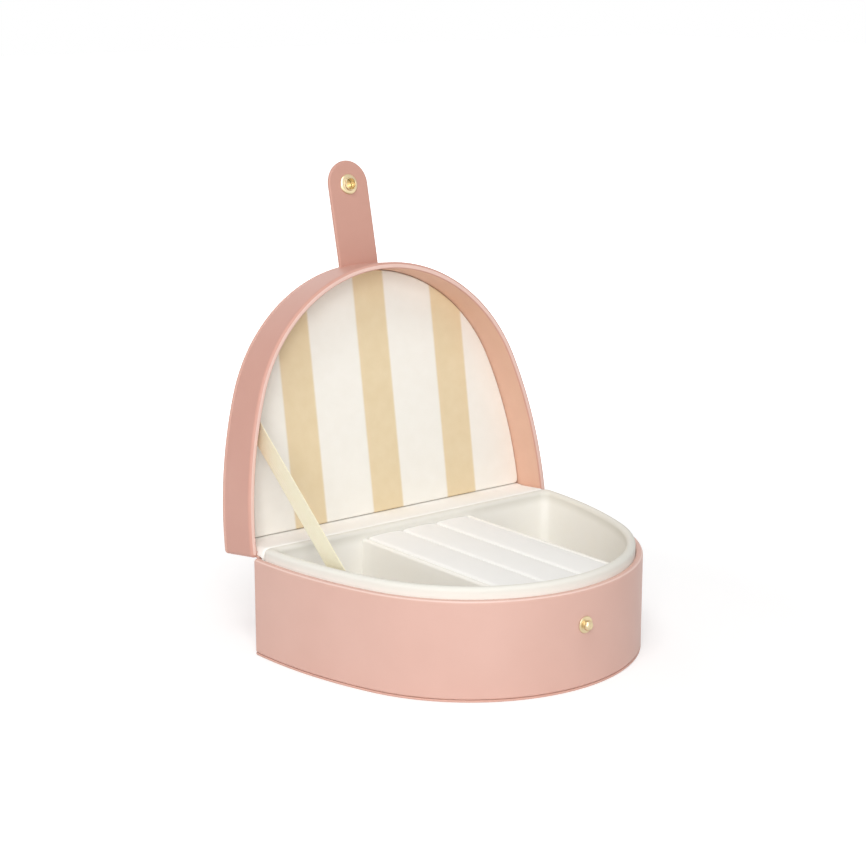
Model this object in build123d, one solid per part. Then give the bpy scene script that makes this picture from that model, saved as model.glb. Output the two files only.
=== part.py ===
from build123d import *
import os
from math import asin, atan2, cos, degrees, hypot, radians, sin, sqrt

# A jewelry box with a flat back and an arched front, shown with its lid open.
# Millimetres. X runs along the hinge, -Y is the front, +Z is up.
# The origin is on the underside, in the middle of the footprint.

# Plan of the box
HALF_WIDTH = 85.0           # half of the straight back
DEPTH = 120.5               # back face to the middle of the front
SIDE_RADIUS = 202.3         # side arcs, square to the back at the corners
BACK_CORNER_RADIUS = 2.0    # upright outer edges at the back

# Heights and the open lid
BASE_HEIGHT = 43.6          # underside to the rim
LID_HEIGHT = 22.6           # rim to the outside of the lid
RIM_GAP = 0.3               # between the two rims when the box is shut
OPEN_ANGLE = 98.3           # degrees from shut to where the ribbon stops the lid

# Sheet materials of the walls, from outside to inside
LEATHER = 0.8               # cover
BOARD = 1.5                 # stiff board
LID_LINING = 0.5            # pink lining of the lid's curved wall
GLUE = 0.05                 # between layers
PANEL = 2.0                 # wrapped bottom and top panels
PANEL_BEVEL = 0.7           # their softened edges
RIM_BEVEL = 0.5             # leather turned over the rims
TURN_IN = 8.0               # leather turned down inside the base
CORNER_WRAP = 2.2           # cover carried round the back corners
SEAM_GAP = 0.3              # cover's edge to the hinge leather

# Tray
FLOOR = 1.2                 # lined floor card
COLLAR = 4.0                # padded collar that locates the lid
COLLAR_STAND = 4.7          # collar above the base rim
COLLAR_ROUND = 1.7          # its rounded top, inside
COLLAR_BEVEL = 1.1          # its top outside, where the lid comes down
COLLAR_SEAT = 0.1           # collar inside the turned-in leather
DIVIDER = 2.6               # thickness
DIVIDER_STAND = 0.8         # top above the base rim
DIVIDER_ROUND = 1.0
BAY_HALF_WIDTH = 31.4       # middle of the box to the outer face of a divider
FIT = 0.3                   # soft pieces clear of their neighbours
RING_PADS = 3               # foam slabs that grip rings between them
RING_PAD_STAND = 1.6        # crown above the base rim
RING_PAD_CROWN = 1.0        # crown above its shoulders
RING_PAD_ROUND = 2.4        # rounded long edges

# Hinge lining and ribbon stay
HINGE_CLOTH = 0.55          # cream lining across the hinge
HINGE_CLOTH_REACH = 12.0    # lining glued down inside the base
HINGE_CLOTH_STAND = 3.9     # bend of the lining above the base rim, behind the collar's top
HINGE_CLOTH_OFF_WALL = 2.2  # lining off the lid's back wall where it goes under the pad
FOLD_ROUND = 0.5            # bend of the hinge pieces
RIBBON_WIDTH = 10.0
RIBBON = 0.4                # thickness
RIBBON_LID_BACK = 59.0      # upper end from the lid's back face
RIBBON_LID_DEPTH = 11.5     # upper end from the lid's rim
RIBBON_TRAY_BACK = 48.5     # lower end from the base's back face
RIBBON_TRAY_DROP = 3.3      # lower end below the base rim
RIBBON_STAND = 1.6          # middle of its ends off the wall

# Lid pad
LID_PAD = 1.9               # striped padding
LID_PAD_BEVEL = 0.6         # its edge, where the cloth is pulled over
LID_PAD_FIT = 0.4           # pad inside the lid's lining

# Strap
STRAP_WIDTH = 21.8
STRAP_LEATHER = 0.7         # each face
STRAP_CORE = 0.4            # stiffener between the faces
STRAP_CORE_INSET = 1.2
STRAP_TIP_MARGIN = 11.0     # snap's middle to the round tip
STRAP_ROOT = 16.0           # glued in behind the lid's front
STRAP_STUB = 0.2            # root in front of the wall
STRAP_LEAN = 4.0            # degrees, strap leaning back from the lid's plane
SLOT_FIT = 0.15             # strap's slot in the lid's wall, each side

# Press stud
STUD_DROP = 15.5            # middle of the stud below the base rim
STUD_FLANGE_RADIUS = 3.7
STUD_FLANGE = 0.7
STUD_NECK_RADIUS = 1.7      # where the ball grows out of the flange
STUD_BALL_RADIUS = 2.2
STUD_POST_RADIUS = 1.2
POST_FIT = 0.1              # posts in their holes
WASHER_RADIUS = 4.0
WASHER = 0.5
SOCKET_RADIUS = 4.7
SOCKET_FLANGE = 0.9         # cone of the flange, from its rim to the tube
SOCKET_RISE = 1.9           # tube above the strap
SOCKET_BORE_RADIUS = 2.5
SOCKET_TUBE = 0.5           # wall of the tube, which goes through the strap
SNAP_GAP = 0.6              # socket to flange when shut
CAP_RADIUS = 5.2
CAP_RISE = 1.1
CAP_SPIGOT = 0.3
SNAP_BEVEL = 0.5            # edges of the stud's flange, the socket and the cap

# Levels and insets that follow from the sizes above
SIDE_MIDDLE_X = HALF_WIDTH - SIDE_RADIUS
FRONT_RADIUS = (SIDE_RADIUS**2 - SIDE_MIDDLE_X**2 - DEPTH**2) / (2 * (SIDE_RADIUS - DEPTH))
BOARD_OUT = LEATHER + GLUE
BOARD_IN = BOARD_OUT + BOARD
LINING_OUT = BOARD_IN + GLUE
BASE_RIM_IN = LINING_OUT + LEATHER
LID_RIM_IN = LINING_OUT + LID_LINING
COLLAR_OUT = BASE_RIM_IN + COLLAR_SEAT
COLLAR_IN = COLLAR_OUT + COLLAR
FLOOR_TOP = PANEL + FLOOR
COLLAR_TOP = BASE_HEIGHT + COLLAR_STAND
DIVIDER_TOP = BASE_HEIGHT + DIVIDER_STAND
RING_PAD_TOP = BASE_HEIGHT + RING_PAD_STAND
STRAP = 2 * STRAP_LEATHER + STRAP_CORE
LID_SEAM = LID_HEIGHT - PANEL
STRAP_HIGH = LID_SEAM - GLUE
STRAP_LOW = STRAP_HIGH - STRAP
LID_PAD_HIGH = STRAP_LOW - GLUE
HINGE_HALF_WIDTH = HALF_WIDTH - CORNER_WRAP - SEAM_GAP
HINGE_CLOTH_HALF_WIDTH = HINGE_HALF_WIDTH - LINING_OUT
LID_PAD_BACK = LINING_OUT + HINGE_CLOTH + HINGE_CLOTH_OFF_WALL + LID_PAD_FIT

# Press stud: the ball stands on its neck, the washer on the wall's hollow side
STUD_HEIGHT = BASE_HEIGHT - STUD_DROP
STUD_BALL_OUT = STUD_FLANGE + sqrt(STUD_BALL_RADIUS**2 - STUD_NECK_RADIUS**2)
WASHER_OUT = LINING_OUT + WASHER_RADIUS**2 / (2 * (FRONT_RADIUS - LINING_OUT))

# Strap fold: its axis in the shut lid, and the turn that seats the socket on the stud
FOLD_Y = -(DEPTH + STRAP_STUB + FIT + STRAP / 2)
FOLD_H = (STRAP_LOW + STRAP_HIGH) / 2
BALL_ACROSS = STUD_BALL_OUT + DEPTH + FOLD_Y
BALL_BELOW = BASE_HEIGHT + FOLD_H - STUD_HEIGHT
BALL_REACH = hypot(BALL_ACROSS, BALL_BELOW)
BALL_OFF_STRAP = STRAP / 2 + SOCKET_RISE + SNAP_GAP + STUD_FLANGE - STUD_BALL_OUT
SOCKET_REACH = sqrt(BALL_REACH**2 - BALL_OFF_STRAP**2)
FOLD_TILT = degrees(atan2(BALL_ACROSS, BALL_BELOW) + asin(BALL_OFF_STRAP / BALL_REACH))
FOLD_TURN = 90 - FOLD_TILT + STRAP_LEAN


def arch(inset, corner=None, back=None):
    """Plan of the box, moved in by inset, and by a distance of its own at the back where one is given."""
    side, front = SIDE_RADIUS - inset, FRONT_RADIUS - inset
    front_y = FRONT_RADIUS - DEPTH
    start = -asin((back or inset) / side)
    end = atan2(front_y, -SIDE_MIDDLE_X)

    def on_side(angle):
        return SIDE_MIDDLE_X + side * cos(angle), side * sin(angle)

    corner_point, middle, join = on_side(start), on_side((start + end) / 2), on_side(end)
    left = [(-x, y) for x, y in (corner_point, middle, join)]
    outline = [
        Line(left[0], corner_point),
        ThreePointArc(corner_point, middle, join),
        ThreePointArc(join, (0, front_y - front), left[2]),
        ThreePointArc(*reversed(left)),
    ]
    radius = corner or BACK_CORNER_RADIUS - inset
    face = make_face(Curve() + outline)
    if radius <= 0:
        return face
    return fillet(face.vertices().group_by(Axis.Y)[-1], radius)


def wall_x(back, inset):
    """Half width of the plan, moved in by inset, at a distance in front of the back face."""
    return SIDE_MIDDLE_X + sqrt((SIDE_RADIUS - inset)**2 - back**2)


def plate(inset, low, high, corner=None, back=None):
    return Pos(0, 0, low) * extrude(arch(inset, corner, back), high - low)


def band(outer, inner, low, high, outer_corner=None, inner_corner=None):
    return plate(outer, low, high, outer_corner) - plate(inner, low, high, inner_corner)


def block(x, y, z):
    """A box from three (low, high) pairs."""
    size = [high - low for low, high in (x, y, z)]
    middle = [(high + low) / 2 for low, high in (x, y, z)]
    return Pos(*middle) * Box(*size)


def bevel_rim(solid, level, width):
    """Bevels the outline of the lowest (0) or highest (-1) face."""
    rim = solid.faces().sort_by(Axis.Z)[level].outer_wire()
    return chamfer(rim.edges(), width)


def on_base(shape):
    return Pos(0, DEPTH / 2, 0) * shape


def on_lid(shape):
    """Carries a piece of the shut lid, measured from the rim, to the open lid."""
    return Pos(0, DEPTH / 2, BASE_HEIGHT) * Rot(-OPEN_ANGLE, 0, 0) * shape


def on_strap(shape):
    """Carries a strap piece, made flat about the fold axis, to the open lid."""
    return on_lid(Pos(0, FOLD_Y, FOLD_H) * Rot(-STRAP_LEAN, 0, 0) * shape)


def without_back(shape, low, high):
    """Opens a wall band at the back, where the hinge pieces take over."""
    half = HALF_WIDTH - CORNER_WRAP
    return shape - block((-half, half), (-COLLAR_OUT, GLUE), (low - 1, high + 1))


def stud_hole(radius):
    """Drill through the front wall on the stud's axis, half a wall collar deep each way."""
    return Pos(0, -DEPTH, STUD_HEIGHT) * Rot(90, 0, 0) * Cylinder(radius, 2 * COLLAR_OUT)


def strap_slot():
    """Slot in the lid's front wall, under the top panel."""
    half = STRAP_WIDTH / 2 + SLOT_FIT
    return block((-half, half), (-DEPTH - 1, LID_RIM_IN + 1 - DEPTH), (STRAP_LOW - GLUE, LID_HEIGHT))


def wrapped_panel(low, high):
    """A board wrapped in leather, as large as the box, with softened edges."""
    panel = plate(0, low, high)
    return bevel_rim(bevel_rim(panel, 0, PANEL_BEVEL), -1, PANEL_BEVEL)


def bottom_panel():
    return wrapped_panel(0, PANEL)


def base_wall_board():
    wall = band(BOARD_OUT, BOARD_IN, PANEL, BASE_HEIGHT - BOARD_OUT)
    return wall - stud_hole(STUD_POST_RADIUS + POST_FIT)


def base_wall_cover():
    skin = band(0, LEATHER, PANEL, BASE_HEIGHT)
    rim = band(0, BASE_RIM_IN, BASE_HEIGHT - LEATHER, BASE_HEIGHT)
    turned_in = band(LINING_OUT, BASE_RIM_IN, BASE_HEIGHT - TURN_IN, BASE_HEIGHT)
    cover = bevel_rim(skin + rim + turned_in, -1, RIM_BEVEL)
    return without_back(cover, PANEL, BASE_HEIGHT) - stud_hole(STUD_POST_RADIUS + POST_FIT)


def tray_floor():
    return plate(COLLAR_OUT, PANEL, FLOOR_TOP, BACK_CORNER_RADIUS)


def tray_collar():
    corner = BACK_CORNER_RADIUS + COLLAR_ROUND
    wall = band(COLLAR_OUT, COLLAR_IN, FLOOR_TOP, COLLAR_TOP, BACK_CORNER_RADIUS, corner)
    bevelled = bevel_rim(wall, -1, COLLAR_BEVEL)
    inside = bevelled.faces().sort_by(Axis.Z)[-1].inner_wires()[0]
    return fillet(inside.edges(), COLLAR_ROUND)


def divider(side):
    """One wrapped board from the back of the tray to the collar's curve."""
    inner, outer = BAY_HALF_WIDTH - DIVIDER, BAY_HALF_WIDTH
    x = sorted((side * inner, side * outer))
    wall = block(x, (-DEPTH, 0), (FLOOR_TOP, DIVIDER_TOP))
    long_top = wall.edges().group_by(Axis.Z)[-1].filter_by(Axis.Y)
    return fillet(long_top, DIVIDER_ROUND) & plate(COLLAR_IN + GLUE, FLOOR_TOP, COLLAR_TOP)


def ring_pad(index):
    """One upright foam slab with a crowned top; rings are pushed between two slabs."""
    bay = 2 * (BAY_HALF_WIDTH - DIVIDER)
    pitch = (bay - FIT) / RING_PADS
    half = (pitch - FIT) / 2
    shoulder = RING_PAD_TOP - RING_PAD_CROWN
    section = [
        Line((-half, shoulder), (-half, FLOOR_TOP)),
        Line((-half, FLOOR_TOP), (half, FLOOR_TOP)),
        Line((half, FLOOR_TOP), (half, shoulder)),
        ThreePointArc((half, shoulder), (0, RING_PAD_TOP), (-half, shoulder)),
    ]
    face = make_face(Curve() + section)
    shoulders = face.vertices().group_by(Axis.Y)[-1]
    face = Plane.XZ * fillet(shoulders, RING_PAD_ROUND)
    slab = Pos((index - (RING_PADS - 1) / 2) * pitch, 0, 0) * extrude(face, DEPTH)
    return slab & plate(COLLAR_IN + FIT, FLOOR_TOP, COLLAR_TOP, BACK_CORNER_RADIUS)


def lid_point(y, h):
    """A point of the shut lid, y from the back face and h from the rim, in the open lid."""
    turn = radians(OPEN_ANGLE)
    return y * cos(turn) + h * sin(turn), BASE_HEIGHT - y * sin(turn) + h * cos(turn)


def hinge_strip(outer, thick, low, stand, high, off_wall, half):
    """A bent strip along the hinge: up the base's back wall, then straight to the lid.

    It bends at a height above the base rim, and ends at a height from the lid's rim, off the lid's back wall.
    """
    bend = Vector(-outer, BASE_HEIGHT + stand)
    end = Vector(*lid_point(-outer - off_wall, high))
    along = (end - bend).normalized()
    over = Vector(-along.Y, along.X) * thick
    inner_bend = bend + over - along * ((thick + over.X) / along.X)
    points = [(-outer, low), bend, end, end + over, inner_bend, (-outer - thick, low)]
    face = make_face(Polyline(*points, close=True))
    bent_edge = face.vertices().sort_by_distance(inner_bend)[0]
    face = Plane.YZ * fillet(bent_edge, FOLD_ROUND)
    return Pos(-half, 0, 0) * extrude(face, 2 * half)


def hinge_spine():
    return hinge_strip(0, LEATHER, PANEL, 0, LID_SEAM - GLUE, 0, HINGE_HALF_WIDTH)


def hinge_lining():
    """Cloth from inside the base's back, over the hinge level with the collar, and under the lid's pad."""
    low, half = BASE_HEIGHT - HINGE_CLOTH_REACH, HINGE_CLOTH_HALF_WIDTH
    return hinge_strip(LINING_OUT, HINGE_CLOTH, low, HINGE_CLOTH_STAND, LID_PAD_HIGH, HINGE_CLOTH_OFF_WALL, half)


def stay_ribbon():
    """Flat ribbon from the lid's left wall to the collar's left wall, taut with the lid open."""
    lid_y, lid_z = lid_point(-RIBBON_LID_BACK, RIBBON_LID_DEPTH)
    upper = Vector(RIBBON_STAND - wall_x(RIBBON_LID_BACK, LID_RIM_IN), lid_y, lid_z)
    tray_x, tray_z = RIBBON_STAND - wall_x(RIBBON_TRAY_BACK, COLLAR_IN), BASE_HEIGHT - RIBBON_TRAY_DROP
    lower = Vector(tray_x, -RIBBON_TRAY_BACK, tray_z)
    along = upper - lower
    across = along.cross(Vector(1, 0, 0))
    middle = Plane(lower + along * 0.5, x_dir=along, z_dir=along.cross(across))
    return middle * Box(along.length, RIBBON_WIDTH, RIBBON)


def front_stud():
    """Flange, ball and riveted post, turned about the stud's axis."""
    post = WASHER_OUT + WASHER
    tip = STUD_BALL_OUT + STUD_BALL_RADIUS
    neck = (STUD_NECK_RADIUS, STUD_FLANGE)
    flange = [
        (STUD_POST_RADIUS, 0), (STUD_FLANGE_RADIUS, 0), (STUD_FLANGE_RADIUS, STUD_FLANGE - SNAP_BEVEL),
        (STUD_FLANGE_RADIUS - SNAP_BEVEL, STUD_FLANGE), neck,
    ]
    section = [
        Polyline((0, tip), (0, -post), (STUD_POST_RADIUS, -post), *flange),
        ThreePointArc(neck, (STUD_BALL_RADIUS, STUD_BALL_OUT), (0, tip)),
    ]
    turned = revolve(make_face(Curve() + section), Axis.Y)
    return Pos(0, -DEPTH, STUD_HEIGHT) * Rot(180, 0, 0) * turned


def stud_washer():
    ring = Cylinder(WASHER_RADIUS, WASHER) - Cylinder(STUD_POST_RADIUS + POST_FIT, WASHER)
    return Pos(0, WASHER_OUT + WASHER / 2 - DEPTH, STUD_HEIGHT) * Rot(90, 0, 0) * ring


def lid_top_panel():
    return wrapped_panel(LID_SEAM, LID_HEIGHT)


def lid_wall_board():
    wall = band(BOARD_OUT, BOARD_IN, RIM_GAP + BOARD_OUT, LID_SEAM - GLUE)
    return wall - strap_slot()


def lid_wall_cover():
    skin = band(0, LEATHER, RIM_GAP, LID_SEAM)
    rim = band(0, LID_RIM_IN, RIM_GAP, RIM_GAP + LEATHER)
    cover = bevel_rim(skin + rim, 0, RIM_BEVEL)
    return without_back(cover, 0, LID_HEIGHT) - strap_slot()


def lid_wall_lining():
    wall = band(LINING_OUT, LID_RIM_IN, RIM_GAP + BOARD_OUT, LID_SEAM - GLUE)
    return without_back(wall, 0, LID_HEIGHT) - strap_slot()


def lid_pad_board():
    card = plate(LID_RIM_IN + LID_PAD_FIT, STRAP_LOW, STRAP_HIGH, BACK_CORNER_RADIUS)
    half = STRAP_WIDTH / 2 + SLOT_FIT
    return card - block((-half, half), (-DEPTH, STRAP_ROOT + SLOT_FIT - DEPTH), (0, LID_HEIGHT))


def lid_pad():
    inset, low = LID_RIM_IN + LID_PAD_FIT, LID_PAD_HIGH - LID_PAD
    return bevel_rim(plate(inset, low, LID_PAD_HIGH, BACK_CORNER_RADIUS, LID_PAD_BACK), 0, LID_PAD_BEVEL)


def strap_root():
    half = STRAP_WIDTH / 2
    return block((-half, half), (-DEPTH - STRAP_STUB, STRAP_ROOT - DEPTH), (STRAP_LOW, STRAP_HIGH))


def strap_outline(inset):
    """The free strap seen flat, with its fold at y = 0 and its round tip towards -y."""
    half = STRAP_WIDTH / 2 - inset
    tip = SOCKET_REACH + STRAP_TIP_MARGIN - inset
    outline = [
        Line((-half, half - tip), (-half, 0)),
        Line((-half, 0), (half, 0)),
        Line((half, 0), (half, half - tip)),
        ThreePointArc((half, half - tip), (0, -tip), (-half, half - tip)),
    ]
    return make_face(Curve() + outline)


def snap_hole():
    radius = SOCKET_BORE_RADIUS + SOCKET_TUBE + POST_FIT
    return Pos(0, -SOCKET_REACH, 0) * Cylinder(radius, 2 * STRAP)


def strap_body():
    """Both faces of the free strap in one, with a rolled end at the fold."""
    flat = Pos(0, 0, -STRAP / 2) * extrude(strap_outline(0), STRAP)
    rolled = Rot(0, 90, 0) * Cylinder(STRAP / 2, STRAP_WIDTH)
    return flat + rolled - snap_hole()


def strap_layer(low, high):
    half, reach = STRAP_WIDTH, SOCKET_REACH + STRAP_WIDTH
    return strap_body() & block((-half, half), (-reach, reach), (low, high))


def strap_core_space(inset):
    """Room for the stiffener, kept back from the strap's outline and from its fold."""
    core = Pos(0, 0, -STRAP_CORE / 2) * extrude(strap_outline(inset), STRAP_CORE)
    return core - block((-STRAP_WIDTH, STRAP_WIDTH), (-inset, STRAP), (-STRAP, STRAP))


def strap_core():
    return strap_core_space(STRAP_CORE_INSET) - snap_hole()


def strap_lining():
    """Inner face of the strap, with the edge that is turned up round the stiffener."""
    edge = strap_layer(-STRAP_CORE / 2, STRAP_CORE / 2) - strap_core_space(STRAP_CORE_INSET - GLUE)
    return strap_layer(-STRAP / 2, -STRAP_CORE / 2) + edge


def strap_face():
    return strap_layer(STRAP_CORE / 2, STRAP / 2)


def snap_socket():
    """Socket on the strap's inner face: a coned flange and a tube that goes through the strap."""
    tube_radius = SOCKET_BORE_RADIUS + SOCKET_TUBE
    lip = SOCKET_TUBE / 2
    section = [
        (SOCKET_BORE_RADIUS, STRAP), (SOCKET_BORE_RADIUS, -SOCKET_RISE), (tube_radius - lip, -SOCKET_RISE),
        (tube_radius, lip - SOCKET_RISE), (tube_radius, -SOCKET_FLANGE),
        (SOCKET_RADIUS - lip, -lip), (SOCKET_RADIUS, 0), (tube_radius, 0), (tube_radius, STRAP),
    ]
    turned = revolve(make_face(Polyline(*section, close=True)), Axis.Y)
    return Pos(0, -SOCKET_REACH, -STRAP / 2) * Rot(90, 0, 0) * turned


def snap_cap():
    """Bevelled cap on the strap's outer face, with a spigot in the socket's tube."""
    spigot = SOCKET_BORE_RADIUS - POST_FIT
    section = [
        (0, CAP_RISE), (0, -CAP_SPIGOT), (spigot, -CAP_SPIGOT), (spigot, 0), (CAP_RADIUS, 0),
        (CAP_RADIUS, CAP_RISE - SNAP_BEVEL), (CAP_RADIUS - 2 * SNAP_BEVEL, CAP_RISE),
    ]
    turned = revolve(make_face(Polyline(*section, close=True)), Axis.Y)
    return Pos(0, -SOCKET_REACH, STRAP / 2) * Rot(90, 0, 0) * turned


base = {
    "bottom_panel": bottom_panel(),
    "base_wall_board": base_wall_board(),
    "base_wall_cover": base_wall_cover(),
    "tray_floor": tray_floor(),
    "tray_collar": tray_collar(),
    "divider_left": divider(-1),
    "divider_right": divider(1),
    "front_stud": front_stud(),
    "stud_washer": stud_washer(),
    "hinge_spine": hinge_spine(),
    "hinge_lining": hinge_lining(),
    "stay_ribbon": stay_ribbon(),
}
for index, place in enumerate(("left", "centre", "right")):
    base["ring_pad_" + place] = ring_pad(index)

lid = {
    "lid_top_panel": lid_top_panel(),
    "lid_wall_board": lid_wall_board(),
    "lid_wall_cover": lid_wall_cover(),
    "lid_wall_lining": lid_wall_lining(),
    "lid_pad_board": lid_pad_board(),
    "lid_pad": lid_pad(),
    "strap_root": strap_root(),
}

strap = {
    "strap_lining": strap_lining(),
    "strap_core": strap_core(),
    "strap_face": strap_face(),
    "snap_socket": snap_socket(),
    "snap_cap": snap_cap(),
}

os.makedirs("parts", exist_ok=True)
for pieces, place in ((base, on_base), (lid, on_lid), (strap, on_strap)):
    for name, piece in pieces.items():
        export_step(place(piece), f"parts/{name}.step")

fold_y, fold_z = lid_point(FOLD_Y, FOLD_H)
print("hinge axis at y, z:", DEPTH / 2, BASE_HEIGHT)
print("fold axis at y, z:", round(fold_y + DEPTH / 2, 4), round(fold_z, 4))
print("strap turn from rest to the stud:", round(FOLD_TURN, 3), "socket reach:", round(SOCKET_REACH, 3))
print("front radius:", round(FRONT_RADIUS, 3))
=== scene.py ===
# %% [markdown]
# # An arched jewelry box in pink leather
# The CAD model already has every piece of the box in its place: board walls, leather, tray, lid, strap and stud.
# This lesson dresses it. Hard pieces that nobody sees keep their CAD meshes, and each piece that shows is
# worked out again as a smooth surface, so that leather turns softly over the rims and cloth looks like cloth.
# The model is loaded first. The dressed box may not grow.

import bmesh
import bpy
import numpy as np
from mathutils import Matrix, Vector


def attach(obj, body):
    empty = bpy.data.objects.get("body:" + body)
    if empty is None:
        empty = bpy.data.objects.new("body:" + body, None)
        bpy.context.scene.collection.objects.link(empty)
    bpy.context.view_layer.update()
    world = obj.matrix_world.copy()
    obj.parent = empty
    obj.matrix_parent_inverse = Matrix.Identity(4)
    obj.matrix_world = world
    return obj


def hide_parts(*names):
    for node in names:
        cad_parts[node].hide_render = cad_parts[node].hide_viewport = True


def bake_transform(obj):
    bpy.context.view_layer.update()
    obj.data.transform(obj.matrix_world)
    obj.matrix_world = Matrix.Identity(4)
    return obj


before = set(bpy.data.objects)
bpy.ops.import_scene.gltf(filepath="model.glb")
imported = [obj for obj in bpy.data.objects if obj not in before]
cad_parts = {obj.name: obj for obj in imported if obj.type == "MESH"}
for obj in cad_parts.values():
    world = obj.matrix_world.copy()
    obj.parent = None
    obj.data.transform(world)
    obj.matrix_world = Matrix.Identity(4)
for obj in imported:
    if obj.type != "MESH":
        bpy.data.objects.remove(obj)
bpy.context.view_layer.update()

# %% [markdown]
# ## The camera
# The camera was found by fitting the outlines of the two rims, the foot and the lid's back to the photograph.
# It stands about 0.85 m away, a little above the rim and well to the left, behind a long lens.
# A camera that looks at a point needs only the two points: Blender turns the direction into a rotation.

# %% Place the camera
EYE = Vector((-0.5308, -0.6306, 0.2970))
LOOK_AT = Vector((-0.01689, 0.02025, 0.09702))

camera = bpy.data.objects.new("photo_camera", bpy.data.cameras.new("photo_camera"))
camera.data.lens = 82.04
camera.data.sensor_width = 36.0
camera.location = EYE
camera.rotation_euler = (LOOK_AT - EYE).to_track_quat("-Z", "Y").to_euler()
bpy.context.scene.collection.objects.link(camera)
bpy.context.scene.camera = camera
bpy.context.scene.view_settings.view_transform = "Standard"
print("camera distance:", round((LOOK_AT - EYE).length, 3), "m")

# %% [markdown]
# ## Colours and nodes
# Colours are written as they look on a screen, as sRGB hex values, but a shader works with linear light.
# One function converts them. A second one adds a node, sets what is constant and links what varies.
# The short ones below it are the few nodes that every finish here is made from.

# %% Helpers for materials
def linear(hex_colour):
    """sRGB hex to linear RGBA: values above 0.04045 follow ((c + 0.055) / 1.055) to the power 2.4."""
    srgb = np.array([int(hex_colour[k:k + 2], 16) for k in (1, 3, 5)]) / 255
    rgb = np.where(srgb > 0.04045, ((srgb + 0.055) / 1.055) ** 2.4, srgb / 12.92)
    return (*rgb.tolist(), 1.0)


def add(tree, kind, inputs=None, **settings):
    """Adds a node, applies its settings, and links or sets each of its named inputs."""
    node = tree.nodes.new(kind)
    for name, value in settings.items():
        setattr(node, name, value)
    for name, value in (inputs or {}).items():
        if isinstance(value, bpy.types.NodeSocket):
            tree.links.new(value, node.inputs[name])
        else:
            node.inputs[name].default_value = value
    return node


def finish(name, **sockets):
    """A new material with a Principled shader whose constant sockets are set; returns both and its tree."""
    material = bpy.data.materials.new(name)
    material.use_nodes = True
    tree = material.node_tree
    shader = next(n for n in tree.nodes if n.type == "BSDF_PRINCIPLED")
    for socket, value in sockets.items():
        shader.inputs[socket.replace("_", " ")].default_value = value
    return material, tree, shader


def place_on(tree):
    """The point's place in the object's own frame, in metres."""
    return add(tree, "ShaderNodeTexCoord").outputs["Object"]


def maths(tree, operation, *values):
    """One step of arithmetic on sockets or numbers."""
    return add(tree, "ShaderNodeMath", dict(enumerate(values)), operation=operation).outputs[0]


def mix(tree, share, first, second):
    """A colour that goes from the first to the second as the share goes from 0 to 1."""
    first, second = (linear(c) if isinstance(c, str) else c for c in (first, second))
    return add(tree, "ShaderNodeMix", {"Factor": share, 6: first, 7: second}, data_type="RGBA").outputs[2]


def ramp(tree, value, start, end, low=0.0, high=1.0, kind="SMOOTHSTEP"):
    """Low where the value is at the start, high where it is at the end, and held beyond both."""
    limits = {"Value": value, "From Min": start, "From Max": end, "To Min": low, "To Max": high}
    return add(tree, "ShaderNodeMapRange", limits, interpolation_type=kind).outputs[0]


def noise(tree, place, size, detail):
    """Soft noise whose patches are about as wide as the size."""
    settings = {"Vector": place, "Scale": 1 / size, "Detail": detail}
    return add(tree, "ShaderNodeTexNoise", settings).outputs["Fac"]


def bump(tree, shader, height, strength, depth):
    """Tilts the shader's normal as if the height pattern were that deep."""
    relief = add(tree, "ShaderNodeBump", {"Height": height, "Strength": strength, "Distance": depth})
    tree.links.new(relief.outputs["Normal"], shader.inputs["Normal"])


print("pink leather in linear light:", [round(c, 3) for c in linear("#e4bbae")[:3]])

# %% [markdown]
# ## The studio's floor and world
# The photograph shows the box on white, with a faint shadow at its foot. To the rays that light the box, the
# floor is plain white paper. To the camera and in reflections it is greyer and glows a little: least near the box,
# so that the shadow stays, and most where the lamps don't reach. The world is white to the camera and gentler as
# a light, so that pale cloth keeps its shading.

# %% Floor and world
FLOOR_REACH = 5.0
GLOW_START, GLOW_END, GLOW_NEAR, GLOW_FAR = 0.14, 0.4, 0.48, 0.95
AMBIENT = 0.43

floor_mesh = bpy.data.meshes.new("floor")
floor_corners = [(x * FLOOR_REACH, y * FLOOR_REACH, 0) for x, y in ((-1, -1), (1, -1), (1, 1), (-1, 1))]
floor_mesh.from_pydata(floor_corners, [], [(0, 1, 2, 3)])
floor = bpy.data.objects.new("floor", floor_mesh)
bpy.context.scene.collection.objects.link(floor)


def seen_rays(tree):
    """1 for rays from the camera, mirror-like reflections and clear materials, 0 for rays that light things."""
    rays = add(tree, "ShaderNodeLightPath").outputs
    seen = maths(tree, "MAXIMUM", rays["Is Camera Ray"], rays["Is Glossy Ray"])
    return maths(tree, "MAXIMUM", seen, rays["Is Transmission Ray"])


paper, tree, shader = finish("white_backdrop_paper", Roughness=0.9, Emission_Color=(1, 1, 1, 1))
seen = seen_rays(tree)
tree.links.new(mix(tree, seen, "#f4f4f4", "#cbcbcb"), shader.inputs["Base Color"])
apart = add(tree, "ShaderNodeVectorMath", {0: place_on(tree)}, operation="LENGTH").outputs["Value"]
glow = ramp(tree, apart, GLOW_START, GLOW_END, GLOW_NEAR, GLOW_FAR)
tree.links.new(maths(tree, "MULTIPLY", seen, glow), shader.inputs["Emission Strength"])
floor_mesh.materials.append(paper)

world = bpy.data.worlds.new("white_studio")
world.use_nodes = True
bpy.context.scene.world = world
tree = world.node_tree
background = next(n for n in tree.nodes if n.type == "BACKGROUND")
background.inputs["Color"].default_value = (1, 1, 1, 1)
strength = ramp(tree, seen_rays(tree), 0.0, 1.0, AMBIENT, 1.0, "LINEAR")
tree.links.new(strength, background.inputs["Strength"])
print("floor:", 2 * FLOOR_REACH, "m wide, ambient light:", AMBIENT)

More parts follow.
